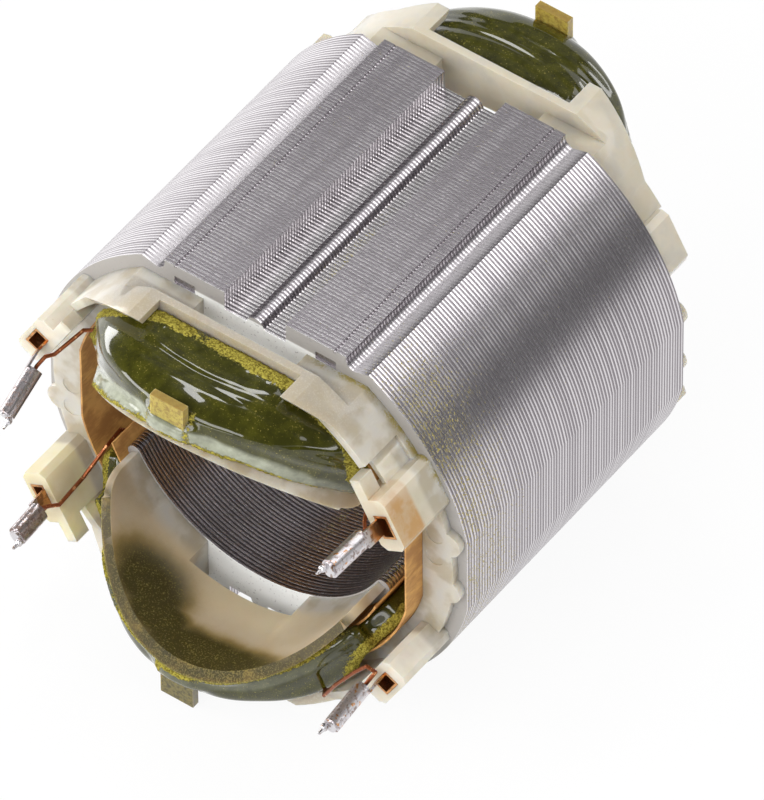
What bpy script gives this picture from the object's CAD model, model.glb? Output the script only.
"""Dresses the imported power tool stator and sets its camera, floor and light.

Lengths inside the classes are millimetres in the part's own frame: +X to the right, +Y along the
bore axis to the rear and +Z up. They become metres when a mesh is written.
"""
import logging
import math
from dataclasses import dataclass
from enum import Enum
from typing import Any, Mapping

import bpy
import numpy as np
from mathutils import Matrix


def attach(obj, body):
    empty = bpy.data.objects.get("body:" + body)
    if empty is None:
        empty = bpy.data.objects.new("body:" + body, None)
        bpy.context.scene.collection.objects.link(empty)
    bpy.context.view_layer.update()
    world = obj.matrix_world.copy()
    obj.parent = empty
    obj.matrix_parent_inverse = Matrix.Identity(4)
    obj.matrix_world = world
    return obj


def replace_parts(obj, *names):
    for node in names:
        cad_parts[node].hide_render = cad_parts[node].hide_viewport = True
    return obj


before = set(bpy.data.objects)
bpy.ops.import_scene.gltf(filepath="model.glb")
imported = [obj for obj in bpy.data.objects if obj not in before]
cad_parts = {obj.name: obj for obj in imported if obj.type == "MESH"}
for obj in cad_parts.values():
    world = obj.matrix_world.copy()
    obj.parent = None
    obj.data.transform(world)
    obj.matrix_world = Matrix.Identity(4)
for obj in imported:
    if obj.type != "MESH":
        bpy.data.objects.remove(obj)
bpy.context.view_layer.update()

LOG = logging.getLogger("stator")
MM = 0.001
# Both end sheets lie this far from the middle of the stack, in millimetres.
FACE = 26.65
# What every vertex of a coil says about its resin.
MARKS = ("powder", "bloom")
WHITE = (1.0, 1.0, 1.0, 1.0)
PALE = (0.9, 0.9, 0.9, 1.0)
Colour = tuple[float, float, float]
Point = tuple[float, float, float]
Array = np.ndarray


class End(Enum):
    """The two ends of the stator, by their sign along Y; the terminals are at the front."""

    FRONT = -1
    REAR = 1


class Half(Enum):
    """The two poles and their coils, by their sign along Z."""

    UPPER = 1
    LOWER = -1


def soft_max(sharp: float, *fields: Array) -> Array:
    """Greatest of several fields with rounded joins: the log of the sum of their exponentials.

    Args:
        sharp: how tight the join is, per millimetre.
        fields: arrays of one shape.
    Returns:
        The blended array.
    """
    stack = np.stack(np.broadcast_arrays(*fields))
    top = stack.max(axis=0)
    return top + np.log(np.exp(sharp * (stack - top)).sum(axis=0)) / sharp


def ease(low: float, high: float, value: Array) -> Array:
    """Smooth step from 0 at low to 1 at high, as 3t^2 - 2t^3."""
    t = np.clip((value - low) / (high - low), 0.0, 1.0)
    return t * t * (3.0 - 2.0 * t)


def wander(seed: int, count: int, *coordinates: Array) -> Array:
    """Smooth unevenness: a sum of sine waves with seeded directions and phases, within about -1 to 1.

    Args:
        seed: picks the waves.
        count: number of waves.
        coordinates: position arrays, already divided by the size of one lump.
    Returns:
        The height array.
    """
    rng = np.random.default_rng(seed)
    pull = rng.normal(0.0, 1.0, (count, len(coordinates)))
    phase = rng.uniform(0.0, 2.0 * math.pi, count)
    place = np.stack(np.broadcast_arrays(*coordinates), axis=-1)
    return np.sin(place @ pull.T * 2.0 + phase).sum(axis=-1) / math.sqrt(2.0 * count)


def grid_quads(rows: int, columns: int, around: bool, along: bool) -> Array:
    """Joins the points of a grid, counted row by row, into quads.

    Args:
        rows: number of rows.
        columns: number of columns.
        around: whether the last column joins the first.
        along: whether the last row joins the first.
    Returns:
        Point numbers, shape (quads, 4).
    """
    index = np.arange(rows * columns, dtype=np.int32).reshape(rows, columns)
    index = np.pad(index, ((0, int(along)), (0, int(around))), mode="wrap")
    return np.stack([index[:-1, :-1], index[:-1, 1:], index[1:, 1:], index[1:, :-1]], -1).reshape(-1, 4)


def grid_mesh(name: str, points: Array, around: bool, along: bool, crease: float) -> bpy.types.Object:
    """Writes a grid of points as a mesh of quads.

    Args:
        name: the object's name.
        points: positions in millimetres, shape (rows, columns, 3).
        around: whether the last column joins the first.
        along: whether the last row joins the first.
        crease: edges that turn more than this many degrees stay sharp.
    Returns:
        The object, riding on the root body.
    """
    quads = grid_quads(*points.shape[:2], around, along)
    mesh = bpy.data.meshes.new(name)
    mesh.vertices.add(points[..., 0].size)
    mesh.vertices.foreach_set("co", (points * MM).astype(np.float32).ravel())
    mesh.loops.add(quads.size)
    mesh.loops.foreach_set("vertex_index", quads.ravel())
    mesh.polygons.add(len(quads))
    mesh.polygons.foreach_set("loop_start", np.arange(0, quads.size, 4, dtype=np.int32))
    mesh.update(calc_edges=True)
    mesh.validate()
    mesh.polygons.foreach_set("use_smooth", np.ones(len(mesh.polygons), dtype=bool))
    mesh.set_sharp_from_angle(angle=math.radians(crease))
    piece = bpy.data.objects.new(name, mesh)
    bpy.context.scene.collection.objects.link(piece)
    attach(piece, "root")
    LOG.info("%s: %d faces", name, len(mesh.polygons))
    return piece


def mark(piece: bpy.types.Object, name: str, values: Array) -> None:
    """Stores one number per vertex on a piece, for its finish to read.

    Args:
        piece: a mesh object.
        name: the attribute's name.
        values: array in the grid's order.
    """
    layer = piece.data.attributes.new(name, "FLOAT", "POINT")
    layer.data.foreach_set("value", values.astype(np.float32).ravel())


class Value:
    """A shader socket that takes part in Python arithmetic."""

    def __init__(self, graph: "Graph", socket: bpy.types.NodeSocket) -> None:
        """Keeps the socket and the graph that owns it."""
        self.graph = graph
        self.socket = socket

    def _with(self, operation: str, first: Any, second: Any = None) -> "Value":
        """Adds one Math node over one or two numbers or values."""
        inputs = {0: first} if second is None else {0: first, 1: second}
        return self.graph.add("ShaderNodeMath", {"operation": operation}, inputs)

    def __add__(self, other: Any) -> "Value":
        """Sum."""
        return self._with("ADD", self, other)

    __radd__ = __add__

    def __sub__(self, other: Any) -> "Value":
        """Difference."""
        return self._with("SUBTRACT", self, other)

    def __rsub__(self, other: Any) -> "Value":
        """Difference from a number."""
        return self._with("SUBTRACT", other, self)

    def __mul__(self, other: Any) -> "Value":
        """Product."""
        return self._with("MULTIPLY", self, other)

    __rmul__ = __mul__

    def __truediv__(self, other: Any) -> "Value":
        """Quotient."""
        return self._with("DIVIDE", self, other)

    def __rtruediv__(self, other: Any) -> "Value":
        """Quotient of a number by this value."""
        return self._with("DIVIDE", other, self)

    def __pow__(self, other: Any) -> "Value":
        """Power."""
        return self._with("POWER", self, other)

    def __abs__(self) -> "Value":
        """Size without sign."""
        return self._with("ABSOLUTE", self)

    def __mod__(self, other: Any) -> "Value":
        """Remainder that stays positive."""
        return self._with("FLOORED_MODULO", self, other)

    def __floordiv__(self, other: Any) -> "Value":
        """Whole part of the quotient."""
        return self._with("FLOOR", self / other)

    def most(self, other: Any) -> "Value":
        """Greater of two."""
        return self._with("MAXIMUM", self, other)

    def step(self, low: float, high: float) -> "Value":
        """Smooth step, rising or falling.

        Args:
            low: where the result is 0.
            high: where it is 1; it may be the smaller of the two.
        Returns:
            The step, from 0 to 1.
        """
        if high < low:
            return 1 - self.step(high, low)
        settings = {"interpolation_type": "SMOOTHSTEP"}
        inputs = {"Value": self, "From Min": low, "From Max": high}
        return self.graph.add("ShaderNodeMapRange", settings, inputs)

    def band(self, centre: float, width: float) -> "Value":
        """Bump of height 1 round a centre that falls to 0 at the given half width."""
        return abs(self - centre).step(width, 0.0)


class Graph:
    """A node tree being built for a material or the world."""

    def __init__(self, tree: bpy.types.NodeTree) -> None:
        """Empties the tree."""
        self.tree = tree
        tree.nodes.clear()

    def add(
        self,
        kind: str,
        settings: Mapping[str, Any] | None = None,
        inputs: Mapping[Any, Any] | None = None,
        output: Any = 0,
    ) -> Value:
        """Adds one node.

        Args:
            kind: the node's type.
            settings: its properties, set first.
            inputs: numbers, tuples or values by socket name or index.
            output: name or index of the socket to hand back.
        Returns:
            The chosen output.
        """
        node = self.tree.nodes.new(kind)
        for name, setting in (settings or {}).items():
            setattr(node, name, setting)
        for name, given in (inputs or {}).items():
            if isinstance(given, Value):
                self.tree.links.new(given.socket, node.inputs[name])
            else:
                node.inputs[name].default_value = given
        return Value(self, node.outputs[output] if len(node.outputs) else None)

    def place(self) -> Value:
        """Object coordinates, in metres."""
        return self.add("ShaderNodeTexCoord", output="Object")

    def axes(self) -> tuple[Value, Value, Value]:
        """Splits the object coordinates.

        Returns:
            X, Y and Z in millimetres.
        """
        split = self.add("ShaderNodeSeparateXYZ", None, {0: self.place()})
        outputs = split.socket.node.outputs
        return tuple(Value(self, outputs[i]) / MM for i in range(3))

    def facing(self, axis: int) -> Value:
        """One part of the surface's own direction.

        Args:
            axis: 0, 1 or 2 for X, Y or Z.
        Returns:
            The part, from -1 to 1.
        """
        normal = self.add("ShaderNodeNewGeometry", output="Normal")
        split = self.add("ShaderNodeSeparateXYZ", None, {0: normal})
        return Value(self, split.socket.node.outputs[axis])

    def noise(self, size: float | Point, detail: float, rough: float, twist: float = 0.0) -> Value:
        """Smooth noise over the object.

        Args:
            size: millimetres to one lump, the same all round or along X, Y and Z.
            detail: how many finer layers there are.
            rough: share that each finer layer has of the one before.
            twist: how far the noise bends itself.
        Returns:
            A value from 0 to 1.
        """
        factors = (1.0 / (MM * np.broadcast_to(size, 3))).tolist()
        place = self.add("ShaderNodeVectorMath", {"operation": "MULTIPLY"}, {0: self.place(), 1: factors})
        inputs = {"Vector": place, "Scale": 1.0, "Detail": detail, "Roughness": rough, "Distortion": twist}
        return self.add("ShaderNodeTexNoise", None, inputs, "Fac")

    def chance(self, number: Value) -> Value:
        """One even random number for each whole number."""
        return self.add("ShaderNodeTexWhiteNoise", {"noise_dimensions": "1D"}, {"W": number}, "Value")

    def mix(self, share: Any, first: Any, second: Any) -> Value:
        """Colour between two colours.

        Args:
            share: how much of the second there is, from 0 to 1.
            first: a colour or a value.
            second: a colour or a value.
        Returns:
            The mixed colour.
        """
        settings = {"data_type": "RGBA", "clamp_factor": True}
        colours = [c if isinstance(c, Value) else (*c, 1.0) for c in (first, second)]
        return self.add("ShaderNodeMix", settings, {0: share, 6: colours[0], 7: colours[1]}, 2)

    def layers(self, base: Any, *coats: tuple[Any, Any]) -> Value:
        """Lays colours over a colour, one after another.

        Args:
            base: the colour at the bottom.
            coats: pairs of a share, from 0 to 1, and the colour it brings in.
        Returns:
            The colour on top.
        """
        for share, colour in coats:
            base = self.mix(share, base, colour)
        return base

    def bump(self, height: Value, strength: float, depth: float) -> Value:
        """Normal tilted by a height between 0 and 1 of the given depth in millimetres."""
        inputs = {"Strength": strength, "Distance": depth * MM, "Height": height}
        return self.add("ShaderNodeBump", None, inputs)

    def surface(self, **sockets: Any) -> None:
        """Ends the tree with a Principled shader.

        Args:
            sockets: numbers, colours or values by socket name, with underscores for spaces.
        """
        inputs = {name.replace("_", " "): given for name, given in sockets.items()}
        shader = self.add("ShaderNodeBsdfPrincipled", None, inputs)
        self.add("ShaderNodeOutputMaterial", None, {"Surface": shader})


class Finish:
    """A material recipe; each kind of surface has its own."""

    name = "finish"

    def wire(self, graph: Graph) -> None:
        """Builds the nodes in an empty tree; each finish has its own."""
        raise NotImplementedError

    def material(self) -> bpy.types.Material:
        """Makes the material on first use.

        Returns:
            The finish's material.
        """
        found = bpy.data.materials.get(self.name)
        if found is None:
            found = bpy.data.materials.new(self.name)
            found.use_nodes = True
            self.wire(Graph(found.node_tree))
        return found

    def dress(self, piece: bpy.types.Object) -> bpy.types.Object:
        """Puts the finish on a whole piece, in every slot it has.

        Args:
            piece: a new piece or a CAD node.
        Returns:
            The same piece.
        """
        if not piece.material_slots:
            piece.data.materials.append(None)
        for place in piece.material_slots:
            place.material = self.material()
        return piece


@dataclass(frozen=True)
class SheetSteel(Finish):
    """Punched electrical sheet: a burnished and a torn part on every edge, dust and a little rust."""

    name = "sheet_steel"
    pitch: float = 0.65
    bright: Colour = (0.73, 0.70, 0.72)
    torn: Colour = (0.295, 0.27, 0.29)
    coated: Colour = (0.96, 0.97, 0.96)
    grey: Colour = (0.40, 0.38, 0.36)
    soot: Colour = (0.10, 0.09, 0.09)
    clean: Colour = (0.96, 0.93, 0.94)
    gap: Colour = (0.22, 0.205, 0.215)
    dust: Colour = (0.42, 0.34, 0.06)
    rust: Colour = (0.25, 0.085, 0.02)
    step_x: float = 18.2

    def wire(self, graph: Graph) -> None:
        """Stripes by sheet along Y, a random shade for each sheet, punch streaks, dust specks and rust.

        Args:
            graph: the empty tree.
        """
        x, y, z = graph.axes()
        along = (y + FACE) / self.pitch
        within = along % 1.0
        shade = graph.chance(along // 1.0)
        fine = graph.noise((0.20, 1.4, 0.20), 3.0, 0.6)
        broad = graph.noise((7.0, 5.0, 7.0), 3.0, 0.6)
        border = 0.42 + shade * 0.16 + (fine - 0.5) * 0.22
        burnished = (within - border).step(0.08, -0.08) * within.step(0.03, 0.12)
        shelf = abs(x).band(self.step_x, 2.2) * abs(z).step(30.4, 30.9)
        floor = abs(x).step(5.45, 5.35) * abs(z).step(29.0, 29.4) * abs(z).step(29.95, 29.75)
        drag = graph.noise((3.2, 40.0, 30.0), 2.0, 0.5)
        radius = (x * x + z * z) ** 0.5
        bore = radius.step(25.6, 24.6)
        edge = graph.layers(
            self.torn,
            (burnished, self.bright),
            ((0.40 - shade).most(0.0) * 0.4, self.torn),
            (shelf * 0.6, self.bright),
            (floor, graph.mix(burnished, self.gap, self.clean)),
            (drag.step(0.44, 0.62) * abs(z).step(32.9, 33.0) * 0.45, self.torn),
            (bore * (0.12 + (1 - burnished) * 0.60), self.soot),
        )
        speckle = graph.noise(0.45, 3.0, 0.6)
        stain = speckle.step(0.63, 0.68) * 0.55 + broad.step(0.4, 0.7) * 0.06
        bay = abs(x).step(13.0, 12.0) * abs(z).step(22.0, 24.0) * abs(z).step(30.5, 30.1)
        bay = bay.most(radius.step(27.5, 26.5) * abs(x).step(10.0, 9.0))
        flat = graph.layers(self.grey, (bay, self.coated), (stain, self.torn))
        on_face = abs(y).step(FACE - 0.06, FACE - 0.02)
        speck = graph.noise((0.34, 0.26, 0.34), 2.0, 0.7)
        shoulder = x.step(12.0, 26.0) * y.step(-4.0, -24.0) * 0.15
        channel = x.band(3.2, 2.6) * y.band(-8.0, 22.0) * 0.13
        dusty = (speck + shoulder + channel + (broad - 0.5) * 0.12).step(0.70, 0.76) * (1 - on_face)
        spot = graph.noise((0.9, 0.5, 0.9), 4.0, 0.7)
        rusty = (spot + (broad - 0.5) * 0.2).step(0.72, 0.78)
        matt = dusty.most(rusty)
        rough = 0.20 + fine * 0.12 + (1 - burnished) * 0.10 + on_face * 0.12 + matt * 0.3
        height = fine * 0.4 + burnished * 0.3
        base = graph.layers(edge, (on_face, flat), (dusty * 0.9, self.dust), (rusty * 0.8, self.rust))
        graph.surface(
            Base_Color=base,
            Metallic=(1 - matt * 0.9) * (1 - on_face * 0.9) * (1 - shelf * 0.45),
            Roughness=rough,
            Normal=graph.bump(height, 0.15, 0.03),
        )


@dataclass(frozen=True)
class Spots:
    """What the tints of the moulding share: the tree, the place, the end and three scales of noise."""

    graph: Graph
    x: Value
    z: Value
    ahead: Value
    front: Value
    cloud: Value
    grain: Value
    patch: Value


@dataclass(frozen=True)
class MilkyNylon(Finish):
    """Moulded insulator: milky, slightly translucent, yellowed in places and dusted beside the resin."""

    name = "milky_nylon"
    base: Colour = (0.69, 0.625, 0.50)
    cool: Colour = (0.66, 0.63, 0.565)
    clear: Colour = (0.37, 0.335, 0.275)
    smoky: Colour = (0.42, 0.375, 0.315)
    bright: Colour = (0.97, 0.92, 0.80)
    lime: Colour = (0.90, 0.80, 0.44)
    frost: Colour = (0.82, 0.79, 0.72)
    aged: Colour = (0.60, 0.49, 0.29)
    amber: Colour = (0.62, 0.35, 0.12)
    taupe: Colour = (0.60, 0.475, 0.30)
    ivory: Colour = (0.94, 0.79, 0.53)
    shade: Colour = (0.20, 0.165, 0.11)
    gum: Colour = (0.052, 0.040, 0.001)
    gold: Colour = (0.31, 0.20, 0.03)
    sulphur: Colour = (0.56, 0.45, 0.075)
    dust: Colour = (0.44, 0.34, 0.075)
    post_r: float = 34.95
    post_a: float = 28.5
    shield_r: float = 25.2

    def posts(self, at: Spots, base: Value) -> Value:
        """Tints the terminal end: bright posts, yellow and amber over the sleeves, smoky tabs.

        The distance from a post's axis is the length of (|x|, |z|) less the place of that axis.

        Args:
            at: the shared values.
            base: the colour so far.
        Returns:
            The tinted colour.
        """
        turn = math.radians(self.post_a)
        side = abs(at.x) - self.post_r * math.cos(turn)
        rise = abs(at.z) - self.post_r * math.sin(turn)
        sleeve = (side * side + rise * rise) ** 0.5
        post = sleeve.step(8.6, 7.2) * at.ahead.step(3.2, 4.4) * at.front
        lower_left = at.x.step(0.0, -5.0) * at.z.step(0.0, -5.0)
        upper_right = at.x.step(0.0, 5.0) * at.z.step(0.0, 5.0)
        core = sleeve.step(5.2, 1.5) * at.ahead.step(4.0, 6.5) * (0.5 + at.patch)
        tab = abs(at.z).step(27.5, 29.5) * at.ahead.step(1.6, 2.4) * at.front * (1 - post)
        warm = 0.10 + upper_right * at.graph.facing(1).step(-0.8, -0.4) * 0.90
        glow = sleeve.step(6.0, 3.2) * at.ahead.step(5.6, 6.4) * at.front
        glow = glow * (0.6 + at.patch.step(0.4, 0.6) * 0.4)
        return at.graph.layers(
            base,
            (post * (0.75 + (at.cloud - 0.5) * 0.8), self.bright),
            (post * lower_left * (0.2 + at.patch * 0.7), self.lime),
            (post * upper_right * (0.25 + at.patch * 0.3), self.aged),
            (post * core * 0.35, self.aged),
            (tab * (0.55 + (at.cloud - 0.5) * 1.4), self.smoky),
            (tab * at.ahead.step(3.5, 8.5) * 0.35, self.aged),
            (tab * at.grain.step(0.50, 0.66) * 0.30, self.frost),
            (glow * warm, self.amber),
        )

    @staticmethod
    def oval(at: Spots, x: float, ahead: float, width: float, length: float) -> Value:
        """Uneven distance from an oval's middle, about 1 on its border: the root of u^2 + v^2."""
        u, v = (at.x - x) / width, (at.ahead - ahead) / length
        return (u**2.0 + v**2.0) ** 0.5 + (at.patch - 0.5) * 0.22

    def soil(self, at: Spots, low: Value) -> Value:
        """Share of the dark coil that shows through the lower shield: a round, a long and a joining cloud.

        Args:
            at: the shared values.
            low: 1 on the lower shield.
        Returns:
            Mask from 0 to 1.
        """
        first = self.oval(at, -10.5, 11.5, 7.5, 7.0).step(1.35, 0.15)
        second = self.oval(at, 3.5, 17.0, 17.0, 5.4).step(1.25, 0.2)
        third = self.oval(at, -7.0, 15.2, 7.0, 4.5).step(1.3, 0.2)
        return low * first.most(second).most(third)

    def shields(self, at: Spots, base: Value) -> tuple[Value, Value, Value]:
        """Tints the shields: brown and soiled below, a dark front rim and resin grit.

        Args:
            at: the shared values.
            base: the colour so far.
        Returns:
            The tinted colour, the mask of the lower shield and the mask of the grit.
        """
        radius = (at.x * at.x + at.z * at.z) ** 0.5
        shield = radius.step(self.shield_r + 0.9, self.shield_r + 0.5) * at.ahead.step(2.0, 5.0)
        low = at.z.step(2.0, -6.0) * shield
        soil = self.soil(at, low)
        bare = low * at.ahead.step(12.0, 6.5) * abs(at.x + 1.0).step(17.0, 8.0) * (1 - soil)
        rim = low * at.graph.facing(1).step(-0.45, -0.75)
        base = at.graph.layers(
            base,
            (low * 0.8, self.taupe),
            (low * at.z.step(-19.0, -5.0) * at.x.step(6.0, -14.0) * 0.85, self.shade),
            (soil.step(0.0, 0.5) * 0.8, self.gold),
            (soil.step(0.2, 0.8), self.gum),
            (bare * 0.6, self.ivory),
            (rim * 0.97, at.graph.mix(at.patch.step(0.52, 0.8) * 0.6, self.gum, self.gold)),
        )
        grit = shield * (at.grain + soil * 0.05 + rim * 0.07 + (at.patch - 0.5) * 0.15).step(0.60, 0.68)
        return base, low, grit * (0.12 + (soil * 0.45).most(rim * 0.2))

    def nubs(self, at: Spots, crumb: Value, base: Value) -> tuple[Value, Value]:
        """Tints the nubs on the shields and covers the upper ones with a powdery crust.

        Args:
            at: the shared values.
            crumb: coarse noise that breaks up the crust.
            base: the colour so far.
        Returns:
            The tinted colour and the mask of the crust.
        """
        nub = abs(at.x).step(3.3, 2.7) * abs(at.z).step(25.4, 26.2) * at.ahead.step(15.0, 17.0)
        upper = at.z.step(-5.0, 5.0)
        crown = abs(at.z).step(31.9, 32.15)
        crust = nub * (1 - crown * 0.75) * (0.35 + upper * 0.65)
        tint = at.graph.mix(upper, self.gum, self.gold)
        powdery = crust * crumb.step(0.34, 0.60) * 0.85
        return at.graph.layers(base, (nub, tint), (powdery, self.sulphur)), crust

    def wire(self, graph: Graph) -> None:
        """Cloudy body, then the tints of posts, shields and nubs, then dust over them.

        Args:
            graph: the empty tree.
        """
        x, y, z = graph.axes()
        front, rear = y.step(0.0, -10.0), y.step(20.0, 30.0)
        cloud = graph.noise(4.6, 3.0, 0.55)
        grain = graph.noise(0.26, 3.0, 0.7)
        patch = graph.noise(3.0, 4.0, 0.6)
        scuff = graph.noise((0.5, 4.0, 0.5), 4.0, 0.6, 0.4)
        crumb = graph.noise(0.6, 4.0, 0.7)
        at = Spots(graph, x, z, abs(y) - FACE, front, cloud, grain, patch)
        base = graph.layers(
            self.base,
            (cloud.step(0.35, 0.7), self.cool),
            (cloud.step(0.58, 0.36) * 0.6, self.clear),
            (scuff.step(0.58, 0.70) * 0.22, self.frost),
            (rear * 0.35, self.bright),
            (rear * cloud.step(0.40, 0.62) * 0.4, self.aged),
            (cloud.step(0.50, 0.36) * front * 0.35, self.aged),
        )
        base = self.posts(at, base)
        base, low, grit = self.shields(at, base)
        base, crust = self.nubs(at, crumb, base)
        seam = at.ahead.step(1.5, 0.3) * front * x.step(6.0, 14.0) * z.step(10.0, 20.0)
        seam = seam * (grain * 0.5 + patch * 0.5).step(0.46, 0.56)
        sprinkle = grain.step(0.67, 0.71) * front * z.step(0.0, 18.0) * 0.7
        graph.surface(
            Base_Color=graph.layers(base, (grit * 0.95, self.dust), (seam.most(sprinkle), self.dust)),
            Roughness=0.20 + cloud * 0.12 + scuff * 0.15 + grit.most(crust) * 0.4 + low * 0.2,
            Coat_Weight=0.5 - low * 0.4,
            Coat_Roughness=0.10,
            Transmission_Weight=0.22,
            IOR=1.45,
            Subsurface_Weight=0.5,
            Subsurface_Radius=(1.0, 0.75, 0.45),
            Subsurface_Scale=0.0022,
            Normal=graph.bump(grain * 0.3 + cloud * 0.5 + scuff * 0.4 + crust * crumb * 3.0, 0.3, 0.15),
        )


@dataclass(frozen=True)
class CoilResin(Finish):
    """Thick glossy olive resin over the winding, powdery where it ran out at the edges."""

    name = "olive_resin"
    deep: Colour = (0.030, 0.030, 0.002)
    green: Colour = (0.056, 0.055, 0.004)
    fleck: Colour = (0.36, 0.29, 0.06)
    milk: Colour = (0.40, 0.42, 0.32)
    powder: Colour = (0.50, 0.43, 0.075)
    shadow: Colour = (0.13, 0.10, 0.012)

    def wire(self, graph: Graph) -> None:
        """Two olive tones, golden flecks, and powder where the mesh says so, broken up by grain.

        Args:
            graph: the empty tree.
        """
        marks = (graph.add("ShaderNodeAttribute", {"attribute_name": name}, None, "Fac") for name in MARKS)
        powder, bloom = marks
        cloud = graph.noise(2.2, 4.0, 0.6)
        grain = graph.noise(0.28, 3.0, 0.7)
        coarse = graph.noise(0.6, 4.0, 0.7)
        flecks = (grain + (cloud - 0.5) * 0.25).step(0.63, 0.70)
        crust = (powder + (coarse - 0.5) * 0.9 + (grain - 0.5) * 0.4).step(0.38, 0.56)
        grit = graph.mix((grain * 0.6 + coarse * 0.4).step(0.40, 0.60), self.shadow, self.powder)
        base = graph.layers(
            self.deep,
            (cloud.step(0.35, 0.7), self.green),
            (flecks * 0.7, self.fleck),
            (bloom * (0.75 + (cloud - 0.5) * 1.2), self.milk),
            (crust, grit),
        )
        height = coarse * 0.08 + crust * (0.6 + grain * 1.8 + coarse * 0.6)
        graph.surface(
            Base_Color=base,
            Roughness=0.20 + flecks * 0.2 + crust * 0.6,
            Specular_IOR_Level=0.1,
            Coat_Weight=1 - crust,
            Coat_Roughness=0.04,
            Normal=graph.bump(height, 0.7, 0.25),
        )


@dataclass(frozen=True)
class SlotPaper(Finish):
    """Slot liner: tan pressed paper with fibres, darker where resin soaked in."""

    name = "pressed_paper"
    tan: Colour = (0.64, 0.35, 0.105)
    dark: Colour = (0.40, 0.19, 0.055)

    def wire(self, graph: Graph) -> None:
        """Fibres along the slot over soaked patches.

        Args:
            graph: the empty tree.
        """
        fibre = graph.noise((0.3, 1.8, 0.3), 4.0, 0.6)
        soak = graph.noise((3.0, 4.0, 3.0), 3.0, 0.55)
        base = graph.mix((soak * 0.7 + fibre * 0.3).step(0.38, 0.62), self.dark, self.tan)
        graph.surface(
            Base_Color=base,
            Roughness=0.55 + fibre * 0.25,
            Normal=graph.bump(fibre, 0.4, 0.08),
        )


@dataclass(frozen=True)
class TinnedCopper(Finish):
    """Terminal strip: bare copper alloy in the post, tinned unevenly from the bend outwards."""

    name = "tinned_copper"
    tin_from: float = -39.6
    copper: Colour = (0.66, 0.33, 0.13)
    tin: Colour = (0.72, 0.69, 0.71)
    stain: Colour = (0.50, 0.45, 0.46)
    oxide: Colour = (0.20, 0.10, 0.055)

    def wire(self, graph: Graph) -> None:
        """Tin begins at a place along Y, with copper showing through and dull oxide patches.

        Args:
            graph: the empty tree.
        """
        x, y, z = graph.axes()
        mottle = graph.noise(0.9, 4.0, 0.65)
        fine = graph.noise(0.22, 3.0, 0.6)
        tinned = (self.tin_from - y + (mottle - 0.5) * 3.0).step(-0.4, 0.6)
        bare = (mottle + fine * 0.15).step(0.66, 0.72)
        left = x.step(5.0, -5.0)
        dull = (mottle - left * z.step(5.0, -5.0) * 0.07).step(0.47, 0.38)
        base = graph.layers(
            self.copper,
            (tinned * (1 - bare), self.tin),
            (left * tinned * (0.45 + fine * 0.5), self.stain),
            (dull * 0.65, self.oxide),
        )
        graph.surface(
            Base_Color=base,
            Metallic=1.0,
            Roughness=0.24 + fine * 0.16 + dull * 0.2,
            Normal=graph.bump(mottle * 0.7 + fine * 0.3, 0.5, 0.14),
        )


@dataclass(frozen=True)
class Solder(Finish):
    """Cold solder: bright grey, lumpy, with brownish flux."""

    name = "solder_grey"
    bright: Colour = (0.72, 0.70, 0.72)
    flux: Colour = (0.24, 0.13, 0.06)

    def wire(self, graph: Graph) -> None:
        """Lumps with flux in the low places.

        Args:
            graph: the empty tree.
        """
        lump = graph.noise(0.7, 3.0, 0.55)
        base = graph.mix(lump.step(0.46, 0.34), self.bright, self.flux)
        graph.surface(
            Base_Color=base,
            Metallic=1.0,
            Roughness=0.22 + lump * 0.2,
            Normal=graph.bump(lump, 0.7, 0.25),
        )


@dataclass(frozen=True)
class EnamelledWire(Finish):
    """Magnet wire: copper under red-brown enamel, scuffed here and there."""

    name = "enamelled_wire"
    enamel: Colour = (0.26, 0.075, 0.028)
    copper: Colour = (0.70, 0.34, 0.15)

    def wire(self, graph: Graph) -> None:
        """Enamel with scuffs of bare copper.

        Args:
            graph: the empty tree.
        """
        scuff = graph.noise(0.8, 4.0, 0.65)
        bare = scuff.step(0.58, 0.66)
        graph.surface(
            Base_Color=graph.mix(bare, self.enamel, self.copper),
            Metallic=0.85,
            Roughness=0.22 + scuff * 0.18,
            Normal=graph.bump(scuff, 0.3, 0.05),
        )


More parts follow.
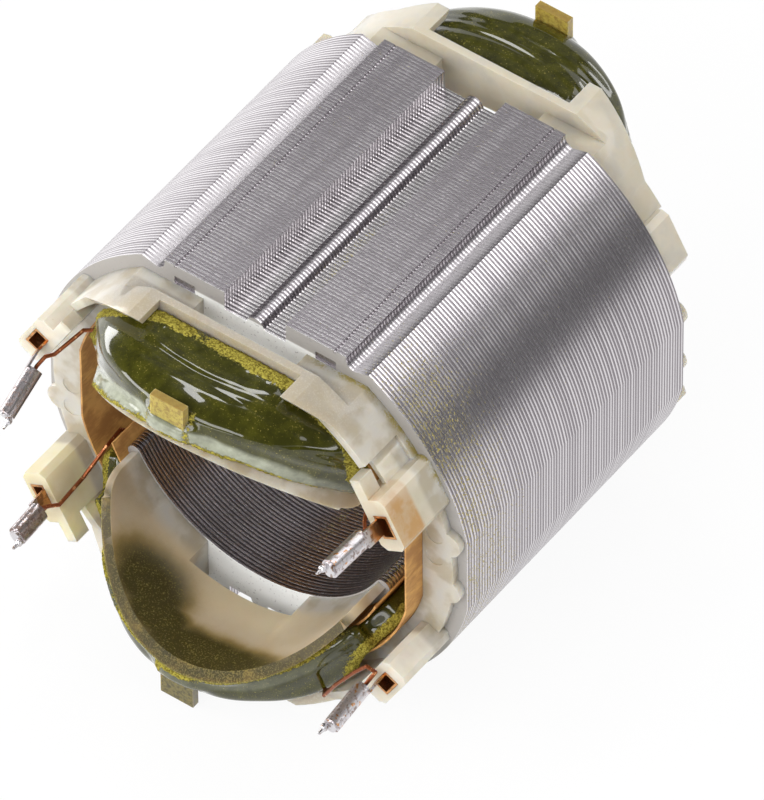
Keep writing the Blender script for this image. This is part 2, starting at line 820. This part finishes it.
@dataclass
class SheetEdges:
    """The punched edges of the sheets: every sheet stands a little apart from its neighbours."""

    sheets: int = 82
    core_r: float = 37.6
    core_w: float = 73.9
    land_z: float = 33.15
    channel_half: float = 5.4
    channel_depth: float = 3.55
    rib_r: float = 1.5
    rib_sink: float = 0.1
    groove_x: float = 14.0
    groove_half: float = 0.2
    groove_deep: float = 0.25
    notch_x: float = 17.45
    notch_r: float = 1.55
    notch_z: float = 32.575
    ramp_x: float = 19.95
    ramp_rise: float = 0.75
    side_z: float = 3.0
    bore_r: float = 23.8
    tip_t: float = 2.4
    tip_angle: float = 62.25
    tip_back: float = 14.0
    proud: float = 0.025
    sunk: float = 0.03
    uneven: float = 0.012
    gap_outside: float = 0.05
    gap_pole: float = 0.07
    crease: float = 25.0
    seed: int = 82

    def quadrant(self) -> Array:
        """Outer outline from the rib's top to the middle of the right side, as rows of (x, z).

        Straight runs between corners, with arcs for the rib, the notch and the round of the core.

        Returns:
            Array of shape (points, 2).
        """
        floor = self.land_z - self.channel_depth
        turn = np.radians(np.linspace(90.0, math.degrees(math.asin(self.rib_sink / self.rib_r)), 9))
        rib = np.stack([self.rib_r * np.cos(turn), floor - self.rib_sink + self.rib_r * np.sin(turn)], 1)
        half = self.channel_half
        straight = np.array([
            (half, floor),
            (half, self.land_z),
            (self.groove_x - self.groove_half, self.land_z),
            (self.groove_x, self.land_z - self.groove_deep),
            (self.groove_x + self.groove_half, self.land_z),
        ])
        start = math.degrees(math.asin((self.land_z - self.notch_z) / self.notch_r))
        turn = np.radians(np.linspace(180.0 - start, 270.0, 11))
        notch = self.notch_r * np.stack([np.cos(turn), np.sin(turn)], 1) + (self.notch_x, self.notch_z)
        ramp = np.array([(self.ramp_x, self.notch_z - self.notch_r + self.ramp_rise)])
        first = math.acos(self.ramp_x / self.core_r)
        last = math.acos(0.5 * self.core_w / self.core_r)
        turn = np.linspace(first, last, 40)
        arc = self.core_r * np.stack([np.cos(turn), np.sin(turn)], 1)
        side = np.array([(0.5 * self.core_w, self.side_z), (0.5 * self.core_w, 0.0)])
        return np.concatenate([rib, straight, notch, ramp, arc, side])

    def outline(self) -> Array:
        """Whole outer outline: the quadrant and its mirror images, clockwise from the top.

        Returns:
            Array of shape (points, 2).
        """
        first = self.quadrant()
        right = np.concatenate([first, first[-2::-1] * (1.0, -1.0)])
        return np.concatenate([right, right[-2:0:-1] * (-1.0, 1.0)])

    def pole(self, half: Half) -> Array:
        """Pole face with both rounded tips, as an open run of (x, z).

        From the back of one tip round a half circle, along the bore and round the other tip.

        Args:
            half: which pole.
        Returns:
            Array of shape (points, 2).
        """
        round_r = 0.5 * self.tip_t
        middle = self.bore_r + round_r
        back = np.radians(np.linspace(self.tip_angle - self.tip_back, self.tip_angle, 6)[:-1])
        side = np.stack([np.sin(back), np.cos(back)], 1) * (self.bore_r + self.tip_t)
        at = math.radians(self.tip_angle)
        turn = np.linspace(0.0, math.pi, 12)
        out = np.array([math.sin(at), math.cos(at)])
        over = np.array([math.cos(at), -math.sin(at)])
        tip = middle * out + round_r * (np.cos(turn)[:, None] * out + np.sin(turn)[:, None] * over)
        bend = np.linspace(at, 0.0, 34)[1:]
        bore = np.stack([np.sin(bend), np.cos(bend)], 1) * self.bore_r
        run = np.concatenate([side, tip, bore])
        whole = np.concatenate([run, run[-2::-1] * (-1.0, 1.0)])
        return whole * half.value

    def carry(self, name: str, run: Array, closed: bool, groove: float) -> bpy.types.Object:
        """Carries an outline along Y with a shallow groove between each pair of sheets.

        Each sheet has three rings: its groove, and the two borders of its edge, pushed out along the
        outline's own normal by a height that differs a little from sheet to sheet.

        Args:
            name: the piece's name.
            run: outline points (x, z).
            closed: whether the outline closes.
            groove: half the width of a groove, as a share of one sheet.
        Returns:
            The piece.
        """
        step = np.roll(run, -1, 0) - run
        if not closed:
            step[-1] = step[-2]
        turn = np.stack([-step[:, 1], step[:, 0]], 1)
        turn /= np.linalg.norm(turn, axis=1)[:, None]
        before = np.roll(turn, 1, 0)
        if not closed:
            before[0] = turn[0]
        normal = turn + before
        normal /= np.linalg.norm(normal, axis=1)[:, None]
        rng = np.random.default_rng(self.seed)
        pitch = 2.0 * FACE / self.sheets
        starts = -FACE + pitch * np.arange(self.sheets)
        rise = self.proud + rng.uniform(-self.uneven, self.uneven, self.sheets)
        level = np.stack([np.full(self.sheets, -self.sunk), rise, rise], 1).ravel()
        place = (starts[:, None] + pitch * np.array([0.0, groove, 1.0 - groove])).ravel()
        level = np.append(level, -self.sunk)
        place = np.append(place, FACE)
        flat = run[None] + level[:, None, None] * normal[None]
        points = np.stack([flat[..., 0], np.broadcast_to(place[:, None], flat.shape[:2]), flat[..., 1]], -1)
        return grid_mesh(name, points, closed, along=False, crease=self.crease)

    def build(self, finish: SheetSteel) -> None:
        """Makes the outer edges and both pole faces and dresses them and the solid stack.

        Args:
            finish: the steel.
        """
        pieces = [self.carry("sheet_edges_outside", self.outline(), True, self.gap_outside)]
        for half in Half:
            name = f"sheet_edges_{half.name.lower()}_pole"
            pieces.append(self.carry(name, self.pole(half), False, self.gap_pole))
        for piece in pieces:
            finish.dress(piece)
        finish.dress(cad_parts["lamination_stack"])


@dataclass
class SaddleCoil:
    """One coil: legs in two slots and a domed saddle round each end, all in one closed tube."""

    half: Half
    front_reach: float
    rear_reach: float
    inner: float = 25.47
    wall: float = 5.97
    dome_r: float = 33.25
    dome_back: float = 14.65
    plan_r: float = 26.25
    nose_r: float = 4.4
    nose_out: float = 0.7
    top: float = 31.2
    under: float = 56.0
    leg_in: float = 26.65
    leg_out: float = 30.5
    leg_z: float = 28.0
    leg_x: float = 10.6
    leg_low: float = 27.3
    leg_end: float = 6.9
    leg_side: float = 29.7
    dome_soft: float = 2.6
    leg_soft: float = 3.5
    joint_soft: float = 1.6
    mid_r: float = 28.3
    spread: float = 46.0
    front_share: float = 1.0
    rear_share: float = 0.35
    front_seed: int = 11
    rear_seed: int = 31
    path_from: float = 0.4
    path_short: float = 7.6
    ridge_h: float = 0.13
    lump_h: float = 0.07
    crumb_h: float = 0.22
    rows: int = 300
    leg_rows: int = 10
    spokes: int = 150
    spoke_end: float = 16.0
    halvings: int = 22

    def inside(self, x: Array, d: Array, z: Array, reach: float) -> Array:
        """Field that is negative in the coil: the dome joined to the legs with a soft fillet.

        The dome is where a bore cylinder, a sphere, a round plan and a round-nosed side all agree, with
        soft edges. It swells where resin gathered at the nub's foot and drapes where it ran out over the
        shield. The legs are the ring between two radii, cut by the slot's lower limit.

        Args:
            x: across, in millimetres.
            d: distance in front of the sheet face.
            z: up from the bore axis, for the upper coil.
            reach: how far the saddle stands out.
        Returns:
            Array of signed distances, roughly in millimetres.
        """
        radius = np.hypot(x, z)
        ball = np.sqrt(x**2 + z**2 + (d - reach + self.dome_back) ** 2) - self.dome_r
        plan = np.hypot(x, d - reach + self.plan_r) - self.plan_r
        slope = math.radians(self.under)
        nose_z = self.top - self.nose_r
        fore = d - (reach + self.nose_out - self.nose_r)
        lift = z - nose_z
        under = fore * math.cos(slope) - lift * math.sin(slope)
        turn = np.arctan2(lift, fore)
        nose = np.where(turn > math.pi / 2, lift, np.where(turn < -slope, under, np.hypot(fore, lift)))
        nose = np.where((turn < -math.pi / 2) & (under < lift), lift, nose) - self.nose_r
        swell = 1.5 * np.exp(-((x / 4.6) ** 4)) * ease(29.2, 27.6, z)
        lean = np.degrees(np.arctan2(x, z))
        drape = ease(26.0, 8.0, lean) * ease(-56.0, -42.0, lean) * ease(27.3, 26.0, radius)
        drape = drape * (0.8 + 0.8 * ease(0.0, 30.0, np.abs(lean)))
        front = soft_max(self.dome_soft, ball, plan, nose) - np.maximum(swell, drape)
        dome = soft_max(self.dome_soft, self.wall - d, self.inner - radius, front)
        angle = np.degrees(np.arctan2(z, np.abs(x)))
        low = self.leg_low + 8.0 * ease(1.0, 5.0, d)
        legs = soft_max(
            self.leg_soft,
            self.leg_in - radius,
            radius - self.leg_out,
            self.leg_x - np.abs(x),
            np.abs(x) - self.leg_side,
            z - self.leg_z,
            (low - angle) * 0.48,
            d - self.leg_end,
        )
        return -soft_max(self.joint_soft, -dome, -legs)

    def end(self, reach: float, seed: int, share: float) -> tuple[Array, Array, Array]:
        """One end of the coil with half of each leg, from the left slot to the right one.

        The path runs along a leg, turns over the pole in a half oval on a cylinder and runs back. From
        each of its points spokes go out square to it until the field changes sign, found by halving.

        Args:
            reach: how far the saddle stands out of the sheet face.
            seed: picks the unevenness.
            share: how much powder and bloom there is at this end.
        Returns:
            Points (rows, spokes, 3) as x, d, z, and the powder and bloom share of each.
        """
        legs = self.leg_rows
        theta = np.radians(np.linspace(-90.0, 90.0, self.rows - 2 * legs))
        phi = np.radians(self.spread) * np.sin(theta)
        far = self.path_from + (reach - self.path_short) * np.cos(theta)
        run = np.linspace(-FACE, 0.2, legs, endpoint=False)
        phi = np.concatenate([np.full(legs, phi[0]), phi, np.full(legs, phi[-1])])
        far = np.concatenate([run, far, run[::-1]])
        lean = np.gradient(phi) * self.mid_r
        ahead = np.gradient(far)
        size = np.hypot(lean, ahead)
        out = np.stack([np.sin(phi), np.zeros_like(phi), np.cos(phi)], -1)
        across = np.stack([np.cos(phi), np.zeros_like(phi), -np.sin(phi)], -1)
        fore = np.array([0.0, 1.0, 0.0])
        square = (-ahead[:, None] * across + lean[:, None] * fore) / size[:, None]
        centre = self.mid_r * out + far[:, None] * fore
        beta = np.linspace(0.0, 2.0 * math.pi, self.spokes, endpoint=False)
        spoke = np.cos(beta)[None, :, None] * square[:, None] + np.sin(beta)[None, :, None] * out[:, None]
        near = np.zeros((self.rows, self.spokes))
        reachable = np.full((self.rows, self.spokes), self.spoke_end)
        for _ in range(self.halvings):
            middle = 0.5 * (near + reachable)
            place = centre[:, None] + middle[..., None] * spoke
            within = self.inside(place[..., 0], place[..., 1], place[..., 2], reach) < 0.0
            near = np.where(within, middle, near)
            reachable = np.where(within, reachable, middle)
        place = centre[:, None] + near[..., None] * spoke
        powder = self.powder(place, reach, seed) * share
        bloom = self.bloom(place, seed) * share
        shown = ease(1.0, 4.0, place[..., 1])
        row = np.arange(self.rows)[:, None] / self.rows
        ridge = self.ridge_h * wander(seed, 9, 3.4 * beta[None] + 0 * near, 4.5 * row)
        lump = self.lump_h * wander(seed + 1, 14, *(place[..., i] / 4.0 for i in range(3)))
        crumb = powder * wander(seed + 2, 40, *(place[..., i] / 0.38 for i in range(3)))
        near = near + shown * (ridge + lump - 0.10) + self.crumb_h * np.abs(crumb) * shown
        return centre[:, None] + near[..., None] * spoke, powder, bloom

    def powder(self, place: Array, reach: float, seed: int) -> Array:
        """Share of powder: along the rim, along the shield's edge, at both ends and beside the nub.

        Args:
            place: points as x, d, z.
            reach: how far the saddle stands out.
            seed: picks the unevenness.
        Returns:
            Array between 0 and 1.
        """
        x, d, z = (place[..., i] for i in range(3))
        radius = np.hypot(x, z)
        uneven = 0.5 + 0.5 * wander(seed + 3, 12, x / 3.0, d / 3.0, z / 3.0)
        rim = ease(9.4, 7.6, d) * ease(28.0, 29.5, radius) * (0.5 + 0.7 * uneven)
        shield = ease(27.0, 25.9, radius) * ease(6.0, 7.5, d) * (0.45 + 0.6 * uneven)
        nub = np.exp(-((np.abs(x) - 3.3) / 0.9) ** 2) * ease(reach - 3.0, reach - 0.5, d)
        nub = nub * (0.4 + 0.4 * uneven)
        ends = ease(-16.5, -20.0, x) * ease(7.5, 6.0, d) * ease(1.0, 3.0, d) * ease(28.0, 30.0, radius)
        if self.half is Half.LOWER:
            ends = ends * 0.3
        return np.clip(np.maximum.reduce([rim, shield, nub, ends]), 0.0, 1.0)

    def bloom(self, place: Array, seed: int) -> Array:
        """Share of pale, milky resin that pooled along the shield and down the left end.

        Args:
            place: points as x, d, z.
            seed: picks the unevenness.
        Returns:
            Array between 0 and 1.
        """
        x, d, z = (place[..., i] for i in range(3))
        uneven = 0.25 * wander(seed + 5, 10, x / 4.0, d / 4.0, z / 4.0)
        radius = np.hypot(x, z) + uneven
        lip = ease(28.7, 27.9, radius) * ease(26.0, 12.0, x) * ease(7.0, 9.0, d)
        return lip * (1.0 if self.half is Half.UPPER else 0.2)

    def build(self, finish: CoilResin) -> None:
        """Joins both ends into one closed tube, marks powder and bloom and dresses it.

        Args:
            finish: the resin.
        """
        sign = self.half.value
        front, *front_marks = self.end(self.front_reach, self.front_seed + sign, self.front_share)
        rear, *rear_marks = self.end(self.rear_reach, self.rear_seed + sign, self.rear_share)
        front = np.stack([front[..., 0], -(FACE + front[..., 1]), front[..., 2]], -1)
        rear = np.stack([-rear[..., 0], FACE + rear[..., 1], rear[..., 2]], -1)
        points = np.concatenate([front, rear])
        points[..., 2] *= sign
        name = f"{self.half.name.lower()}_coil"
        piece = grid_mesh(f"{name}_resin", points[:, ::-sign], around=True, along=True, crease=180.0)
        for label, ahead, behind in zip(MARKS, front_marks, rear_marks):
            mark(piece, label, np.concatenate([ahead, behind])[:, ::-sign])
        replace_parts(finish.dress(piece), name)


@dataclass
class Insulators:
    """The two end mouldings, with their sharp edges broken by a small round."""

    edge: float = 0.22
    weld_gap: float = 0.001
    sharp_angle: float = 40.0
    segments: int = 2

    def build(self, finish: MilkyNylon) -> None:
        """Dresses both mouldings and rounds their edges.

        Args:
            finish: the nylon.
        """
        for end in End:
            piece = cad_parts[f"{end.name.lower()}_insulator"]
            finish.dress(piece)
            weld = piece.modifiers.new("weld", "WELD")
            weld.merge_threshold = self.weld_gap * MM
            soften = piece.modifiers.new("broken_edges", "BEVEL")
            soften.width = self.edge * MM
            soften.segments = self.segments
            soften.limit_method = "ANGLE"
            soften.angle_limit = math.radians(self.sharp_angle)
            LOG.info("%s dressed", piece.name)


@dataclass
class Fittings:
    """Slot papers, terminals, solder joints and leads."""

    def build(self, finishes: Mapping[str, Finish]) -> None:
        """Dresses the small nodes.

        Args:
            finishes: a finish for each ending of a node's name.
        """
        for name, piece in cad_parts.items():
            for ending, finish in finishes.items():
                if name.endswith(ending):
                    finish.dress(piece)
                    LOG.info("%s dressed as %s", name, finish.name)


@dataclass(frozen=True)
class SoftBox:
    """One lamp: its direction in degrees, size and distance in millimetres, and power in watts."""

    name: str
    azimuth: float
    elevation: float
    size: tuple[float, float]
    power: float
    away: float = 800.0


@dataclass(frozen=True)
class Card:
    """One panel that only mirrors see: its middle, its half sizes along X, Y and Z, and its grey."""

    name: str
    centre: Point
    half: Point
    tone: float


@dataclass
class Studio:
    """Camera, floor, world, cards and lamps."""

    azimuth: float = 36.373
    elevation: float = 47.798
    roll: float = -0.429
    distance: float = 2340.91
    focal_px: float = 16252.38
    centre_px: tuple[float, float] = (366.95, 353.74)
    frame_px: tuple[int, int] = (764, 800)
    sensor: float = 36.0
    clip_end: float = 50000.0
    floor_z: float = -33.15
    floor_half: float = 4000.0
    floor_points: int = 9
    card_points: int = 3
    floor_glow: float = 0.92
    ambient: float = 0.42
    cards: tuple[Card, ...] = (
        Card("ceiling_card", (0.0, 0.0, 900.0), (1500.0, 1500.0, 0.0), 0.10),
        Card("side_card", (900.0, 400.0, 200.0), (0.0, 1100.0, 240.0), 0.06),
        Card("left_card", (-900.0, 0.0, 520.0), (0.0, 1100.0, 340.0), 0.08),
        Card("front_card", (0.0, -900.0, 490.0), (1000.0, 0.0, 260.0), 0.08),
        Card("floor_card", (-520.0, -100.0, floor_z + 1.0), (430.0, 700.0, 0.0), 1.4),
    )
    boxes: tuple[SoftBox, ...] = (
        SoftBox("box_side", 92.0, 22.0, (260.0, 200.0), 0.9),
        SoftBox("box_back", -125.0, 66.0, (230.0, 190.0), 1.25),
        SoftBox("box_land", -143.0, 42.0, (700.0, 220.0), 0.07, 900.0),
        SoftBox("box_rear", 174.0, 56.0, (340.0, 260.0), 0.7),
        SoftBox("box_right", 138.0, 43.0, (300.0, 220.0), 0.6),
        SoftBox("box_left", -98.0, 7.0, (300.0, 150.0), 1.0, 750.0),
        SoftBox("box_corner", -54.0, 20.0, (460.0, 260.0), 3.0),
        SoftBox("box_rim", 177.0, 26.0, (220.0, 60.0), 0.24),
        SoftBox("box_front", 4.0, 40.0, (560.0, 300.0), 3.1),
        SoftBox("strip_front", -8.0, 8.0, (560.0, 90.0), 0.6),
    )

    @staticmethod
    def hang(
        item: bpy.types.Object,
        azimuth: float,
        elevation: float,
        away: float,
        roll: float = 0.0,
        slide: tuple[float, float] = (0.0, 0.0),
    ) -> None:
        """Turns a camera or lamp to face the stator and links it to the scene.

        Its back points out along the two angles, and the roll turns it round that line.

        Args:
            item: the object.
            azimuth: degrees from the front towards the right.
            elevation: degrees above the floor.
            away: distance in millimetres.
            roll: degrees round the line of sight.
            slide: shift to its own right and up, in millimetres.
        """
        a, e, r = (math.radians(angle) for angle in (azimuth, elevation, roll))
        back = np.array([math.sin(a) * math.cos(e), -math.cos(a) * math.cos(e), math.sin(e)])
        level = np.array([math.cos(a), math.sin(a), 0.0])
        rise = np.cross(back, level)
        right = math.cos(r) * level + math.sin(r) * rise
        up = math.cos(r) * rise - math.sin(r) * level
        place = back * away + right * slide[0] + up * slide[1]
        turn = np.eye(4)
        turn[:3] = np.stack([right, up, back, place * MM], 1)
        item.matrix_world = Matrix(turn.tolist())
        bpy.context.scene.collection.objects.link(item)

    def camera(self) -> None:
        """Sets the camera, with a slide that puts the bore's middle on its pixel."""
        per_px = self.distance / self.focal_px
        across = (0.5 * self.frame_px[0] - self.centre_px[0]) * per_px
        rise = (self.centre_px[1] - 0.5 * self.frame_px[1]) * per_px
        lens = bpy.data.cameras.new("photo_camera")
        lens.sensor_fit = "AUTO"
        lens.sensor_width = self.sensor
        lens.lens = self.focal_px / max(self.frame_px) * self.sensor
        lens.clip_end = self.clip_end * MM
        lens.dof.use_dof = False
        camera = bpy.data.objects.new("photo_camera", lens)
        self.hang(camera, self.azimuth, self.elevation, self.distance, self.roll, (across, rise))
        bpy.context.scene.camera = camera

    @staticmethod
    def panel(name: str, centre: Point, half: Point, points: int) -> tuple[bpy.types.Object, Graph]:
        """Makes a flat panel that isn't part of the object: its middle plus u and v times its half sides.

        Args:
            name: the panel's and its material's name.
            centre: its middle in millimetres.
            half: its half sizes along X, Y and Z, one of them 0.
            points: number of grid points along each side.
        Returns:
            The object and the empty tree of its material.
        """
        across, up = np.diag(half)[np.flatnonzero(half)]
        line = np.linspace(-1.0, 1.0, points)
        u, v = np.meshgrid(line, line)
        corners = np.array(centre) + u[..., None] * across + v[..., None] * up
        quads = grid_quads(points, points, around=False, along=False)
        mesh = bpy.data.meshes.new(name)
        mesh.from_pydata((corners.reshape(-1, 3) * MM).tolist(), [], quads.tolist())
        piece = bpy.data.objects.new(name, mesh)
        bpy.context.scene.collection.objects.link(piece)
        material = bpy.data.materials.new(name)
        material.use_nodes = True
        mesh.materials.append(material)
        return piece, Graph(material.node_tree)

    @staticmethod
    def watched(graph: Graph) -> Value:
        """Tells the rays that should see white from those that carry light.

        Args:
            graph: the tree.
        Returns:
            1 for rays from the camera, off a mirror or through glass, else 0.
        """
        path = graph.add("ShaderNodeLightPath").socket.node.outputs
        kinds = ("Camera", "Glossy", "Transmission")
        camera, mirror, through = (Value(graph, path[f"Is {kind} Ray"]) for kind in kinds)
        return camera.most(mirror).most(through)

    def floor(self) -> None:
        """Lays a pale floor under the lower lands; the camera sees it white and it keeps the shadow."""
        size = (self.floor_half, self.floor_half, 0.0)
        _, graph = self.panel("studio_floor", (0.0, 0.0, self.floor_z), size, self.floor_points)
        shaded = graph.add("ShaderNodeBsdfDiffuse", None, {"Color": PALE})
        white = graph.add("ShaderNodeEmission", None, {"Color": WHITE, "Strength": 1.0})
        share = self.watched(graph) * self.floor_glow
        blend = graph.add("ShaderNodeMixShader", None, {0: share, 1: shaded, 2: white})
        graph.add("ShaderNodeOutputMaterial", None, {"Surface": blend})

    def world(self) -> None:
        """White for the camera, mirrors and glass; a softer level for light that falls on the object."""
        world = bpy.data.worlds.new("studio_world")
        bpy.context.scene.world = world
        world.use_nodes = True
        graph = Graph(world.node_tree)
        level = self.ambient + self.watched(graph) * (1.0 - self.ambient)
        light = graph.add("ShaderNodeBackground", None, {"Color": WHITE, "Strength": level})
        graph.add("ShaderNodeOutputWorld", None, {"Surface": light})

    def card(self, card: Card) -> None:
        """Hangs one card, as a photographer does to give metal and resin some contrast.

        Args:
            card: its place and tone.
        """
        piece, graph = self.panel(card.name, card.centre, card.half, self.card_points)
        piece.visible_camera = False
        piece.visible_diffuse = False
        piece.visible_shadow = False
        glow = graph.add("ShaderNodeEmission", None, {"Color": WHITE, "Strength": card.tone})
        graph.add("ShaderNodeOutputMaterial", None, {"Surface": glow})

    def lamp(self, box: SoftBox) -> None:
        """Hangs one soft box that faces the stator.

        Args:
            box: its place, size and power.
        """
        light = bpy.data.lights.new(box.name, "AREA")
        light.shape = "RECTANGLE"
        light.size, light.size_y = (side * MM for side in box.size)
        light.energy = box.power
        lamp = bpy.data.objects.new(box.name, light)
        self.hang(lamp, box.azimuth, box.elevation, box.away)

    def build(self) -> None:
        """Sets everything that isn't part of the object."""
        bpy.context.scene.view_settings.view_transform = "Standard"
        self.camera()
        self.floor()
        self.world()
        for card in self.cards:
            self.card(card)
        for box in self.boxes:
            self.lamp(box)
        LOG.info("studio: %d cards, %d lamps", len(self.cards), len(self.boxes))


def main() -> None:
    """Builds and dresses every sub-assembly in order."""
    logging.basicConfig(level=logging.INFO, format="%(name)s %(message)s")
    Studio().build()
    SheetEdges().build(SheetSteel())
    Insulators().build(MilkyNylon())
    resin = CoilResin()
    SaddleCoil(Half.UPPER, front_reach=20.4, rear_reach=19.4).build(resin)
    SaddleCoil(Half.LOWER, front_reach=19.4, rear_reach=19.4).build(resin)
    Fittings().build({
        "_paper": SlotPaper(),
        "_terminal": TinnedCopper(),
        "_solder": Solder(),
        "_lead": EnamelledWire(),
    })


if __name__ == "__main__":
    main()
